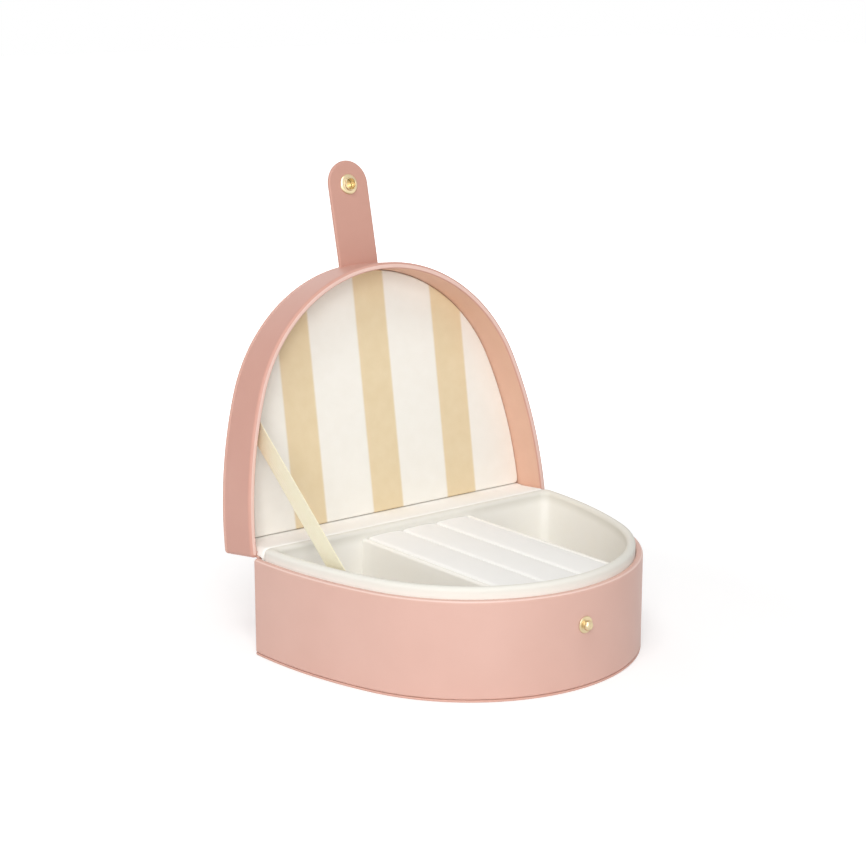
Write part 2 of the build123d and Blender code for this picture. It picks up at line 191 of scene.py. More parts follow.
# %% [markdown]
# ## The lamps
# A large softbox near the camera gives the main light, and a small low one lifts the base's front. One from above
# opens up the tray, and a low one behind the box keeps its back from going dark. All are soft, as in a
# product studio, so that no edge of a shadow shows.

# %% Lamps
def soft_lamp(name, place, aim, size, watts):
    """A square area lamp at a place, turned towards a point."""
    lamp = bpy.data.lights.new(name, "AREA")
    lamp.size, lamp.energy = size, watts
    holder = bpy.data.objects.new(name, lamp)
    holder.location = place
    holder.rotation_euler = (Vector(aim) - Vector(place)).to_track_quat("-Z", "Y").to_euler()
    bpy.context.scene.collection.objects.link(holder)


soft_lamp("low_softbox", (-0.88, -0.92, 0.2), (0, 0, 0.08), 0.3, 1.9)
soft_lamp("front_softbox", (-0.78, -0.95, 0.76), (0, 0, 0.09), 0.6, 7.6)
soft_lamp("top_softbox", (-0.42, -0.3, 1.15), (0, 0, 0.05), 0.4, 3.7)
soft_lamp("back_softbox", (0.32, 1.3, 0.16), (0, 0, 0.08), 0.5, 4.6)

# %% [markdown]
# ## Pink leather
# The cover is a coated leather cloth, embossed with a fine pebble grain and pressed smooth, so it has a satin
# gloss and only a hint of texture. The pebbles are about 0.7 mm. A cell pattern makes them and a broad, faint
# noise makes the hide's uneven tone. Along the rims, where the leather is folded over, a thin paler line is a
# painted highlight. Object coordinates keep the grain the same size on every piece.

# %% Leather finishes
MM = 0.001
PEBBLE, HIDE_PATCH = 0.7 * MM, 28 * MM


def leather(name, colour, shade, rim=None):
    """Coated leather: cell pebbles as bump, and a slow change from shade to colour.

    A rim is an axis, a level along it and a reach: that near to the level a painted highlight turns the leather
    paler.
    """
    material, tree, shader = finish(name, Roughness=0.48, Specular_IOR_Level=0.35, Coat_Weight=0.1,
                                    Coat_Roughness=0.16)
    place = place_on(tree)
    tone = mix(tree, noise(tree, place, HIDE_PATCH, 3.0), shade, colour)
    if rim:
        axis, level, reach = rim
        along = add(tree, "ShaderNodeVectorMath", {0: place, 1: axis}, operation="DOT_PRODUCT")
        apart = maths(tree, "ABSOLUTE", maths(tree, "SUBTRACT", along.outputs["Value"], level))
        # Painted highlight: near the rim's level the tone is mixed towards a pale pink.
        tone = mix(tree, ramp(tree, apart, reach, reach / 3, 0.0, 0.55), tone, "#f6ddd3")
    tree.links.new(tone, shader.inputs["Base Color"])
    # A heated roller embosses the pebbles; they soften the gloss more than they show as grain.
    cells = add(tree, "ShaderNodeTexVoronoi", {"Vector": place, "Scale": 1 / PEBBLE, "Randomness": 1.0})
    bump(tree, shader, cells.outputs["Distance"], 0.25, 0.06 * MM)
    return material


OPEN_ANGLE = np.radians(98.3)
RIM_AXIS = np.array([0, np.sin(OPEN_ANGLE), np.cos(OPEN_ANGLE)])
RIM_FOOT = float(RIM_AXIS @ [0, 60.25 * MM, 43.6 * MM])
# Painted light and shade: the base wall's leather is painted lighter and the lid wall's darker than the plain copy.
wall_leather = leather("pink_coated_leather", "#d9ae9f", "#d1a394")
# The base's and the lid's copies carry the painted highlight along their rims.
lit_base_leather = leather("pink_coated_leather_base", "#ddb5a8", "#d5ab9d",
                       ((0, 0, 1), 43.2 * MM, 0.36 * MM))
shaded_lid_leather = leather("pink_coated_leather_lid", "#d4a394", "#cc9889",
                      (tuple(RIM_AXIS), RIM_FOOT + 0.3 * MM, 0.12 * MM))
strap_leather = leather("pink_strap_leather", "#cb9b8c", "#c59586")
print("leather pebbles per centimetre:", round(10 * MM / PEBBLE))

# %% [markdown]
# ## Linings
# Inside, the box is lined with short-napped suede cloth in cream and off-white, and the lid's curved wall with a
# smooth pink lining. Suede scatters light in all directions, with a soft glow at grazing angles that the shader's
# sheen gives. Towards the collar's top the cloth is painted a little darker, as painted shade.
# The nap is too fine to see from a step away, so it is drawn at 0.5 mm, a little coarser than life.

# %% Suede and lining finishes
BRUSHED_PATCH = 9 * MM


def suede(name, colour, shade, nap=0.5 * MM, top_shade=None):
    """Napped cloth: rough, with sheen, a fine noise as nap and a slow one as brushed patches.

    Top shade gives two heights and a tone: from the lower to the upper one a painted shade turns the cloth to that
    tone.
    """
    material, tree, shader = finish(name, Roughness=0.95, Sheen_Weight=0.05, Sheen_Roughness=0.5,
                                    Specular_IOR_Level=0.2)
    place = place_on(tree)
    tone = mix(tree, noise(tree, place, BRUSHED_PATCH, 4.0), shade, colour)
    if top_shade:
        low, high, rubbed = top_shade
        height = add(tree, "ShaderNodeSeparateXYZ", {"Vector": place}).outputs["Z"]
        # Painted shade: towards the top the cloth is mixed to a darker tone.
        tone = mix(tree, ramp(tree, height, low, high, 0.0, 0.9), tone, rubbed)
    tree.links.new(tone, shader.inputs["Base Color"])
    bump(tree, shader, noise(tree, place, nap, 2.0), 0.3, 0.1 * MM)
    return material


cream_suede = suede("cream_suede_cloth", "#fcfaf5", "#faf7ef")
# The collar gets a painted shade towards its top.
collar_suede = suede("cream_suede_collar", "#fcfaf5", "#faf7ef", top_shade=(42 * MM, 47 * MM, "#e6e3da"))
white_suede = suede("white_suede_cloth", "#fbfaf7", "#f8f7f3")
pink_lining = suede("pink_lining_cloth", "#e5bca6", "#deb39d", nap=0.3 * MM)
print("suede finishes:", cream_suede.name, collar_suede.name, white_suede.name, pink_lining.name)

# %% [markdown]
# ## Cloth and ribbon
# The lid's padding is covered in a white cloth with broad sand-coloured stripes, woven in one piece. The stripes
# run from the hinge to the front, so they depend on X alone: the distance to the nearest stripe's middle is a
# triangle wave, which a ping-pong node gives. The threads cross at about 0.45 mm and are drawn as two crossed
# waves. The ribbon is a ribbed one, whose ribs run across it.

# %% Striped cloth, cream cloth and ribbon
STRIPE_PITCH, STRIPE_WIDTH, STRIPE_MIDDLE, STRIPE_FADE = 43.8 * MM, 17.2 * MM, 2.3 * MM, 0.75 * MM
PAD_WIDTH = 158 * MM
THREAD = 0.45 * MM
RIB = 0.9 * MM  # Real ribs are about 0.5 mm apart; 0.9 mm is as fine as the picture can show.


def striped_cloth():
    """White cloth whose stripes fade out over 1.5 mm at each edge, with a plain weave as bump.

    The weave is the product of two waves whose length is two threads.
    """
    material, tree, shader = finish("striped_woven_cloth", Roughness=0.88, Sheen_Weight=0.15,
                                    Specular_IOR_Level=0.25)
    place = place_on(tree)
    axes = add(tree, "ShaderNodeSeparateXYZ", {"Vector": place}).outputs
    apart = maths(tree, "PINGPONG", maths(tree, "SUBTRACT", axes["X"], STRIPE_MIDDLE), STRIPE_PITCH / 2)
    edge = ramp(tree, apart, STRIPE_WIDTH / 2 - STRIPE_FADE, STRIPE_WIDTH / 2 + STRIPE_FADE)
    tone = noise(tree, place, 6 * MM, 4.0)
    sand = mix(tree, tone, "#e2cda6", "#ead8b6")
    white = mix(tree, tone, "#f1ede4", "#f6f3ec")
    tree.links.new(mix(tree, edge, sand, white), shader.inputs["Base Color"])
    warp, weft = (maths(tree, "SINE", maths(tree, "MULTIPLY", axes[way], np.pi / THREAD)) for way in "XZ")
    bump(tree, shader, maths(tree, "MULTIPLY", warp, weft), 0.35, 0.05 * MM)
    return material


def ribbon_cloth():
    """Ribbed ribbon: waves along its length, read from its own map in which one unit is a metre."""
    material, tree, shader = finish("cream_grosgrain_ribbon", Roughness=0.6, Sheen_Weight=0.2)
    place = add(tree, "ShaderNodeTexCoord").outputs["UV"]
    tone = mix(tree, noise(tree, place, 4 * MM, 3.0), "#f2eaca", "#f8f1d8")
    tree.links.new(tone, shader.inputs["Base Color"])
    along = add(tree, "ShaderNodeSeparateXYZ", {"Vector": place}).outputs["Y"]
    ribs = maths(tree, "SINE", maths(tree, "MULTIPLY", along, 2 * np.pi / RIB))
    bump(tree, shader, ribs, 0.5, 0.08 * MM)
    return material


striped = striped_cloth()
ribbon_finish = ribbon_cloth()
hinge_cloth_finish = suede("cream_cotton_cloth", "#fcfaf6", "#f9f7f1", nap=THREAD)
print("stripes across the lid:", round(PAD_WIDTH / STRIPE_PITCH, 1))

# %% [markdown]
# ## Gold-plated brass and faced board
# The press stud is turned brass with a thin bright gold plating. A metal's colour is its reflection, so the base
# colour is the gold itself, and faint blotches in the roughness stand for handling. The walls inside are pulp
# board faced in pink paper, which shows only in slits, with small darker and lighter flecks.

# %% Metal and board finishes
def gold_plating():
    """Polished gold plating with a slowly changing roughness."""
    material, tree, shader = finish("gold_plated_brass", Metallic=1.0, Base_Color=linear("#dac8a2"))
    blotches = noise(tree, place_on(tree), 1.2 * MM, 3.0)
    tree.links.new(ramp(tree, blotches, 0.0, 1.0, 0.26, 0.4, "LINEAR"), shader.inputs["Roughness"])
    return material


def faced_board():
    """Paper-faced board: 0.6 mm flecks mixed into dull pink."""
    material, tree, shader = finish("pink_paper_faced_board", Roughness=0.95)
    flecks = noise(tree, place_on(tree), 0.6 * MM, 2.0)
    tree.links.new(mix(tree, flecks, "#b98a7c", "#cfa293"), shader.inputs["Base Color"])
    return material


gold = gold_plating()
board = faced_board()
kept = {"base_wall_board": board, "lid_wall_board": board, "lid_pad_board": board,
        "tray_floor": cream_suede, "stud_washer": gold}
for node, material in kept.items():
    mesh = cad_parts[node].data
    mesh.materials.clear()
    mesh.materials.append(material)
print("CAD pieces kept as they are:", sorted(kept))

# %% [markdown]
# ## The plan of the box
# Seen from above, the box is a flat back, two long side arcs and one front arc, all meeting smoothly. Every wall,
# cover, collar and pad follows that plan at its own distance inside it. So one function draws it for a whole
# set of distances at once: each row of the result is one walk round the plan, at its own inset and height.

# %% Rows round the plan
HALF_WIDTH, DEPTH, SIDE_RADIUS = 85.0, 120.5, 202.3
BASE_HEIGHT = 43.6
BACK_CORNER, LEAST_CORNER = 2.0, 0.3
SIDE_X = HALF_WIDTH - SIDE_RADIUS
FRONT_RADIUS = (SIDE_RADIUS**2 - SIDE_X**2 - DEPTH**2) / (2 * (SIDE_RADIUS - DEPTH))
FRONT_Y = FRONT_RADIUS - DEPTH
WALK = {"back": 10, "corner": 6, "side": 26, "front": 34}


def corner_at(inset):
    """Radius of the plan's back corners at an inset: the outer radius less the inset."""
    return np.maximum(BACK_CORNER - inset, LEAST_CORNER)


def plan_rows(inset, height, corner, shrink=1.0, back=None, back_gap=0.0):
    """One walk round the plan for each inset, in mm: back line, corner, side and front arc, then mirrored.

    Side and front arcs keep their centres and lose the inset from their radius; the corner arc touches the back
    line, which may have a distance of its own, and the side arc. Shrink pulls a row towards the plan's middle.
    A back gap leaves the back open from -gap to gap.
    """
    back = inset if back is None else back
    values = (inset, height, corner, shrink, back)
    values = np.broadcast_arrays(*(np.atleast_1d(np.asarray(v, float)) for v in values))
    inset, height, corner, shrink, back = (v[:, None] for v in values)
    step = {part: np.linspace(0, 1, count, endpoint=False)[None] for part, count in WALK.items()}
    side, front = SIDE_RADIUS - inset, FRONT_RADIUS - inset
    corner_x = SIDE_X + np.sqrt((side - corner) ** 2 - (back + corner) ** 2)
    start = np.arctan2(-(back + corner), corner_x - SIDE_X)
    join = np.arctan2(FRONT_Y, -SIDE_X)
    turn = np.pi / 2 + (start - np.pi / 2) * step["corner"]
    swing = start + (join - start) * step["side"]
    bow = join - (np.pi / 2 + join) * np.linspace(0, 1, WALK["front"] + 1)[None]
    first_x = np.minimum(back_gap, corner_x)
    x = [first_x + (corner_x - first_x) * step["back"], corner_x + corner * np.cos(turn),
         SIDE_X + side * np.cos(swing), front * np.cos(bow)]
    y = [-back + 0 * step["back"], corner * np.sin(turn) - back - corner,
         side * np.sin(swing), FRONT_Y + front * np.sin(bow)]
    x, y = np.hstack(x), np.hstack(y)
    last = None if back_gap else -1
    x = np.hstack([x, -x[:, -2::-1]])[:, :last]
    y = np.hstack([y, y[:, -2::-1]])[:, :last]
    middle = -DEPTH / 2
    return np.stack([x * shrink, middle + (y - middle) * shrink, height + 0 * x], axis=-1)


walk = plan_rows(0, 0, BACK_CORNER)[0]
print("plan:", np.round(np.ptp(walk, axis=0)[:2], 2), "mm, front radius", round(FRONT_RADIUS, 2), "mm")

# %% [markdown]
# ## Places and skins
# Pieces of the base are drawn with the back face at y = 0 and only move forward by half the depth. Pieces of the
# lid are drawn shut, then turned about the hinge line to the open angle. A skin takes a grid of points, joins
# neighbours with quads, closes it where asked, merges doubled points and turns all faces outwards.

# %% Poses and the skin helper
MERGE, SLIVER = 2e-6, 1e-7


def on_base(points):
    """Shifts points by half the depth, so that the origin is under the middle of the box."""
    return points + np.array([0, DEPTH / 2, 0])


def on_lid(points):
    """Turns shut-lid points, measured from the rim, about the hinge line to the open angle."""
    x, y, h = np.moveaxis(points, -1, 0)
    cos, sin = np.cos(OPEN_ANGLE), np.sin(OPEN_ANGLE)
    return np.stack([x, DEPTH / 2 + y * cos + h * sin, BASE_HEIGHT - y * sin + h * cos], axis=-1)


def skin(name, grid, material, around=False, along=False, ends=False, crease=40):
    """A mesh over a grid of points in mm: quads between neighbours, closed round rows, columns or ends."""
    rows, columns = grid.shape[:2]
    index = np.arange(rows * columns).reshape(rows, columns)
    end_faces = [index[:, 0].tolist(), index[:, -1].tolist()] if ends else []
    index = np.vstack([index, index[:1]]) if along else index
    index = np.hstack([index, index[:, :1]]) if around else index
    quads = np.stack([index[:-1, :-1], index[1:, :-1], index[1:, 1:], index[:-1, 1:]], axis=-1).reshape(-1, 4)
    mesh = bpy.data.meshes.new(name)
    mesh.from_pydata((grid.reshape(-1, 3) * MM).tolist(), [], quads.tolist() + end_faces)
    work = bmesh.new()
    work.from_mesh(mesh)
    bmesh.ops.remove_doubles(work, verts=work.verts, dist=MERGE)
    bmesh.ops.dissolve_degenerate(work, edges=work.edges, dist=SLIVER)
    bmesh.ops.recalc_face_normals(work, faces=work.faces)
    work.to_mesh(mesh)
    work.free()
    mesh.shade_smooth()
    mesh.set_sharp_from_angle(angle=np.radians(crease))
    mesh.materials.append(material)
    piece = bpy.data.objects.new(name, mesh)
    bpy.context.scene.collection.objects.link(piece)
    size = np.ptp(grid.reshape(-1, 3), axis=0)
    print(name, len(mesh.polygons), "faces,", np.round(size, 1), "mm")
    return piece


LID_SEAM, LID_HEIGHT = 20.6, 22.6
print("lid apex when open, z:", round(float(on_lid(np.array([0, -DEPTH, LID_HEIGHT]))[2]), 1), "mm")

# %% [markdown]
# ## Rounded profiles
# Folded leather, wrapped boards and cushions all have rounded edges. So their sections are drawn as a few corners,
# and one function rounds each corner by its own reach. It also puts points on long straight runs, because a
# smooth-shaded face that spans a run and a bend would look dented.

# %% The profile helper
LONG_RUN, NEAR_END = 1.3, 0.35


def rounded(corners, reach, steps=7):
    """A closed profile whose corners are arcs, each starting its reach before the corner, as (points, 2).

    An arc is a rational curve of the second order whose middle weight is the sine of half the corner's angle.
    Long straight runs get points near both ends and between, which keeps the shading flat there.
    """
    corners = np.asarray(corners, float)
    reach = np.broadcast_to(np.asarray(reach, float), len(corners))[:, None]
    before, after = np.roll(corners, 1, axis=0) - corners, np.roll(corners, -1, axis=0) - corners
    before /= np.linalg.norm(before, axis=1, keepdims=True)
    after /= np.linalg.norm(after, axis=1, keepdims=True)
    weight = np.sqrt((1 - (before * after).sum(axis=1)) / 2)[:, None, None]
    t = np.linspace(0, 1, steps)[None, :, None]
    first, second = (corners + before * reach)[:, None], (corners + after * reach)[:, None]
    share = (1 - t) ** 2, 2 * weight * t * (1 - t), t**2
    arcs = (share[0] * first + share[1] * corners[:, None] + share[2] * second) / sum(share)
    points = arcs.reshape(-1, 2)
    loop = np.vstack([points, points[:1]])
    length = np.linalg.norm(np.diff(loop, axis=0), axis=1)
    station = np.concatenate([[0], np.cumsum(length)])
    long = length > LONG_RUN
    near = NEAR_END / length[long]
    share = np.stack([near, 0.25 + 0 * near, 0.5 + 0 * near, 0.75 + 0 * near, 1 - near], axis=1)
    extra = station[:-1][long][:, None] + share * length[long][:, None]
    every = np.unique(np.round(np.concatenate([station[:-1], extra.ravel()]), 4))
    return np.stack([np.interp(every, station, loop[:, k]) for k in (0, 1)], axis=1)


print("a square with rounded corners has", len(rounded([(0, 0), (2, 0), (2, 2), (0, 2)], 0.5)), "points")

# %% [markdown]
# ## Leather over the base's wall
# The leather goes up the outside, rolls over the rim and is glued down inside for 8 mm. At the back it turns the
# two corners and stops, because the hinge leather takes over there. The piece is one closed profile, a sheet's
# thickness folded over, carried round the plan and left open at the back.

# %% Base cover
LEATHER, BOARD_IN, BASE_RIM_IN = 0.8, 2.4, 3.2
GROOVE, TURN_IN, COVER_GAP = 1.05, 8, 82.8

cover_edge = [(0.9, GROOVE), (0.0, GROOVE), (0.0, BASE_HEIGHT), (BASE_RIM_IN, BASE_HEIGHT),
              (BASE_RIM_IN, BASE_HEIGHT - TURN_IN), (BOARD_IN, BASE_HEIGHT - TURN_IN),
              (BOARD_IN, BASE_HEIGHT - LEATHER), (LEATHER, BASE_HEIGHT - LEATHER)]
profile = rounded(cover_edge, [0.0, 0.85, 1.25, 1.25, 0.3, 0.3, 0.2, 0.3])
grid = on_base(plan_rows(profile[:, 0], profile[:, 1], corner_at(profile[:, 0]), back_gap=COVER_GAP))
base_cover = skin("base_leather_cover", grid, lit_base_leather, along=True, ends=True)
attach(base_cover, "base")
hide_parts("base_wall_cover")

# %% [markdown]
# ## Wrapped panels, top and bottom
# The bottom of the box and the outside of the lid are boards wrapped in the same leather, with a fine groove
# where they meet the walls. The surface starts at the middle of one side, runs out to the rounded edge and back
# to the middle of the other side, so it needs no separate edge.

# %% Bottom and lid panels
def wrapped_panel(low, high, reach, run=9, flat=8.9, rings=6, widest=0.86):
    """Rows from the middle of the lower side, round the edge, to the middle of the upper side.

    The rounded edge is drawn over a run; from the flat inset inwards, rings shrink to the middle.
    """
    edge = rounded([(run, low), (0, low), (0, high), (run, high)], [0.0, reach, reach, 0.0], steps=9)
    edge = edge[edge[:, 0] < flat]
    shrink = np.concatenate([np.linspace(0, widest, rings), np.ones(len(edge)), np.linspace(widest, 0, rings)])
    inset = np.concatenate([np.full(rings, flat), edge[:, 0], np.full(rings, flat)])
    height = np.concatenate([np.full(rings, low), edge[:, 1], np.full(rings, high)])
    return plan_rows(inset, height, corner_at(inset), shrink)


grid = on_base(wrapped_panel(0.0, 1.0, 0.42))
bottom = skin("bottom_leather_panel", grid, wall_leather, around=True)
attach(bottom, "base")
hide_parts("bottom_panel")

grid = on_lid(wrapped_panel(LID_SEAM, LID_HEIGHT, 0.85))
lid_top = skin("lid_leather_panel", grid, wall_leather, around=True)
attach(lid_top, "lid")
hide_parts("lid_top_panel")

# %% [markdown]
# ## Leather and lining of the lid's wall
# The lid's wall is covered like the base's. Its leather turns over the rim and ends there, and a pink lining
# covers the inside. Both are closed profiles carried round the plan in the shut lid and then turned to the open
# angle.

# %% Lid cover and lid lining
RIM, LID_RIM_IN, LINING_FOOT, WALL_HIGH = 0.3, 2.9, 1.15, 20.5

fold = RIM + LEATHER
lid_edge = [(LEATHER, LID_SEAM - 0.05), (LEATHER, fold), (BOARD_IN, fold), (LID_RIM_IN, fold), (LID_RIM_IN, RIM),
            (0.0, RIM), (0.0, LID_SEAM - 0.05)]
profile = rounded(lid_edge, [0.0, 0.2, 0.0, 0.1, 0.75, 1.4, 0.7])
grid = on_lid(plan_rows(profile[:, 0], profile[:, 1], corner_at(profile[:, 0]), back_gap=COVER_GAP))
lid_cover = skin("lid_leather_cover", grid, shaded_lid_leather, along=True, ends=True)
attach(lid_cover, "lid")
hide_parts("lid_wall_cover")

lining_edge = [(BOARD_IN, LINING_FOOT), (LID_RIM_IN, LINING_FOOT), (LID_RIM_IN, WALL_HIGH), (BOARD_IN, WALL_HIGH)]
profile = rounded(lining_edge, [0.0, 0.2, 0.0, 0.0])
grid = on_lid(plan_rows(profile[:, 0], profile[:, 1], corner_at(profile[:, 0]), back_gap=COVER_GAP))
lid_lining = skin("lid_wall_lining_cloth", grid, pink_lining, along=True, ends=True)
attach(lid_lining, "lid")
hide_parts("lid_wall_lining")

# %% [markdown]
# ## The padded collar
# A strip of board and foam, wrapped in cream suede, stands inside the wall and rises above the rim to guide the
# lid. Its top edge is nearly a half circle. It is a closed profile once more, this time carried all the way round.

# %% Collar
TRAY_FLOOR, COLLAR_TOP, COLLAR_OUT, COLLAR_IN = 3.25, 48.3, 3.3, 7.3

collar_edge = [(COLLAR_OUT, TRAY_FLOOR), (COLLAR_OUT, COLLAR_TOP), (COLLAR_IN, COLLAR_TOP), (COLLAR_IN, TRAY_FLOOR)]
profile = rounded(collar_edge, [0.3, 1.9, 1.95, 0.3], steps=10)
corner = BACK_CORNER + (profile[:, 0] - COLLAR_OUT) / (COLLAR_IN - COLLAR_OUT) * 1.7
grid = on_base(plan_rows(profile[:, 0], profile[:, 1], corner))
collar = skin("suede_collar", grid, collar_suede, around=True, along=True)
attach(collar, "base")
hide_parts("tray_collar")

# %% [markdown]
# ## Dividers and ring cushion
# Two wrapped boards split the tray in three. Between them stand three foam slabs in white suede, and rings are
# pushed into the slits. Each of these is a profile across the box, carried from the back to the front, whose ends
# follow the curve of the collar. Near its ends a slab's top rolls down, as cloth pulled over foam does.

# %% Dividers and slabs
BAY, DIVIDER, DIVIDER_TOP = 31.4, 2.6, 44.4
SLAB_TOP, SLAB_CROWN, CROWN_REACH, SLIT = 45.2, 0.5, 2.7, 0.3


def slab(profile, inset, roll, top, bottom=TRAY_FLOOR, steps=48):
    """A profile in x and z carried along y, from the back to the collar's front curve, with rolled ends.

    Height above the bottom is scaled by one minus the roll's share: a circle's rise over the first mm of each
    end.
    """
    x, z = profile[:, :1], profile[:, 1:]
    along = (1 - np.cos(np.linspace(0, np.pi, steps)))[None] / 2
    front = FRONT_Y - np.sqrt((FRONT_RADIUS - inset) ** 2 - x**2)
    y = -inset + (front + inset) * along
    near_end = 1 - np.clip(np.minimum(-inset - y, y - front) / roll, 0, 1)
    fall = roll * (1 - np.sqrt(1 - near_end**2)) / (top - bottom)
    return np.stack([x + 0 * y, y, bottom + (z - bottom) * (1 - fall)], axis=-1)


for side, name in ((-1, "left"), (1, "right")):
    x = side * np.array([BAY - DIVIDER, BAY - DIVIDER, BAY, BAY])
    z = [TRAY_FLOOR, DIVIDER_TOP, DIVIDER_TOP, TRAY_FLOOR]
    profile = rounded(np.stack([x, z], axis=1), [0.2, 1.15, 1.15, 0.2])
    grid = on_base(slab(profile, 7.36, 0.3, DIVIDER_TOP))
    divider = skin("suede_divider_" + name, grid, cream_suede, along=True, ends=True)
    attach(divider, "base")
    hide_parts("divider_" + name)

pitch = (2 * (BAY - DIVIDER) - SLIT) / 3
half = (pitch - SLIT) / 2
slab_edge = [(-half, TRAY_FLOOR), (-half, SLAB_TOP), (half, SLAB_TOP), (half, TRAY_FLOOR)]
for k, name in enumerate(("left", "centre", "right")):
    edge = rounded(slab_edge, [0.3, 1.6, 1.6, 0.3], steps=9)
    across = np.clip(edge[:, 0] / half, -1, 1)
    edge[:, 1] -= SLAB_CROWN * across**2 * (edge[:, 1] > SLAB_TOP - CROWN_REACH)
    edge[:, 0] += (k - 1) * pitch
    grid = on_base(slab(edge, 7.6, 1.0, SLAB_TOP))
    cushion = skin("ring_cushion_" + name, grid, white_suede, along=True, ends=True)
    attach(cushion, "base")
    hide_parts("ring_pad_" + name)

# %% [markdown]
# ## The lid's striped pad
# A thin foam pad on a card, wrapped in the striped cloth, fills the lid. Its face is flat and rolls back softly at
# its edge, so the rows start behind the edge, come round it and close at the middle.

# %% Striped pad
PAD_FACE, PAD_HIGH, PAD_INSET, PAD_BACK = 16.8, 18.7, 3.15, 5.4
PAD_RUN, PAD_FLAT, PAD_RINGS, PAD_BACK_RINGS = 14, 13.9, 16, 4

pad_edge = [(PAD_RUN, PAD_HIGH), (PAD_INSET, PAD_HIGH), (PAD_INSET, PAD_FACE), (PAD_RUN, PAD_FACE)]
edge = rounded(pad_edge, [0, 0.2, 0.7, 0], steps=9)
edge = edge[edge[:, 0] < PAD_FLAT]
inner = np.linspace(0.94, 0, PAD_RINGS)
shrink = np.concatenate([inner[12::-4], np.ones(len(edge)), inner])
inset = np.concatenate([np.full(PAD_BACK_RINGS, PAD_FLAT), edge[:, 0], np.full(PAD_RINGS, PAD_FLAT)])
height = np.concatenate([np.full(PAD_BACK_RINGS, PAD_HIGH), edge[:, 1], np.full(PAD_RINGS, PAD_FACE)])
grid = plan_rows(inset, height, BACK_CORNER + inset - PAD_INSET, shrink, back=inset + PAD_BACK - PAD_INSET)
pad = skin("striped_lid_pad", on_lid(grid), striped, around=True)
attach(pad, "lid")
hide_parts("lid_pad")

# %% [markdown]
# ## The hinge
# There is no metal in the hinge: a strip of leather runs over both backs outside, and a strip of cloth covers the
# joint inside. Each is a bent line with a thickness, drawn across the box. Near the hinge line it follows the
# base below and the lid above.

# %% Hinge leather and hinge cloth
TUCK_RUN = 3


def bent_strip(outer, thick, low, stand, high, off_wall, reach, half, tuck=0.0):
    """A strip up the base's back wall, bent at a height above the rim, then straight to a point of the lid.

    Its two sides lie a thickness apart, so the inner bend is where the wall's line and the lid's line, each moved
    in by that thickness, meet. The section's corners are rounded, and it is drawn straight across the box. A tuck
    lowers the bend over the last millimetres at both ends, where the strip is pushed down into the corners.
    """
    sections, lengths = [], []
    for height in (stand, stand - tuck):
        bend = np.array([-outer, BASE_HEIGHT + height])
        end = on_lid(np.array([0.0, -outer - off_wall, high]))[1:] - [DEPTH / 2, 0]
        along = (end - bend) / np.linalg.norm(end - bend)
        over = np.array([-along[1], along[0]]) * thick
        inner = bend + over - along * (thick + over[0]) / along[0]
        corners = [(-outer, low), bend, end, end + over, inner, (-outer - thick, low)]
        sections.append(rounded(corners, reach, steps=13)[:, None])
        lengths.append(bend[1] - low + np.linalg.norm(end - bend))
    across = np.concatenate([np.linspace(-half, TUCK_RUN - half, 9)[:-1],
                             np.linspace(TUCK_RUN - half, half - TUCK_RUN, 45),
                             np.linspace(half - TUCK_RUN, half, 9)[1:]])
    share = (np.clip((np.abs(across) - half + TUCK_RUN) / TUCK_RUN, 0, 1) ** 2)[None, :, None]
    section = sections[0] * (1 - share) + sections[1] * share
    print("strip cut to", round(2 * half, 1), "x", round(lengths[0], 1), "mm")
    return on_base(np.concatenate([across[None, :, None] + 0 * section[..., :1], section], axis=-1))


grid = bent_strip(outer=0.0, thick=LEATHER, low=GROOVE, stand=0.0, high=WALL_HIGH, off_wall=0.0,
                  reach=[0.2, 1.0, 0.2, 0.2, 1.6, 0.2], half=82.5)
spine = skin("hinge_leather", grid, wall_leather, along=True, ends=True)
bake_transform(spine)
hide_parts("hinge_spine")

grid = bent_strip(outer=BOARD_IN, thick=0.55, low=31.6, stand=3.9, high=18.65, off_wall=2.2,
                  reach=[0.1, 1.0, 0.1, 0.1, 1.4, 0.1], half=81.7, tuck=3.5)
lining = skin("hinge_cloth", grid, hinge_cloth_finish, along=True, ends=True)
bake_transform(lining)
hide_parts("hinge_lining")

# %% [markdown]
# ## The stay ribbon
# A cream ribbon on the left holds the lid when it leans back. Its ends are glued to the collar and to the lid's
# lining, and between them it is taut. Its path is a straight line whose ends curve over to lie on the two walls,
# and a thin flat profile is carried along it.

# %% The ribbon's path
RIBBON_WIDTH, RIBBON, TAB = 10.0, 0.4, 7.0
TRAY_BACK, TRAY_DROP, LID_BACK, LID_DEPTH, STAND = 48.5, 3.3, 59.0, 11.5, 1.6
LAY, TURN_START, TURN_RUN = 1.3, 4, 9


def wall_x(back, inset):
    """Half width of the plan at a distance in front of the back face."""
    return SIDE_X + np.sqrt((SIDE_RADIUS - inset) ** 2 - back**2)


def ease(value):
    """Smooth step from 0 to 1."""
    value = np.clip(value, 0, 1)
    return value**2 * (3 - 2 * value)


lower = np.array([STAND - wall_x(TRAY_BACK, COLLAR_IN), DEPTH / 2 - TRAY_BACK, BASE_HEIGHT - TRAY_DROP])
upper = on_lid(np.array([STAND - wall_x(LID_BACK, LID_RIM_IN), -LID_BACK, LID_DEPTH]))
span = np.linalg.norm(upper - lower)
along = (upper - lower) / span
station = np.linspace(-TAB, span + TAB, 141)
path = lower + along * station[:, None]
path[:, 0] -= LAY * (ease((TURN_START - station) / TURN_RUN) + ease((station - span + TURN_START) / TURN_RUN))
print("ribbon: free", round(span, 1), "mm, cut", round(span + 2 * TAB, 1), "mm")

# %% [markdown]
# ## The ribbon's cloth
# The flat profile needs two directions at each point of the path: across the ribbon and out of its face. Both
# come from cross products with the way forward. The ribbon also gets a map of its own, laid out flat in metres,
# so that the ribs of its weave run straight across it.

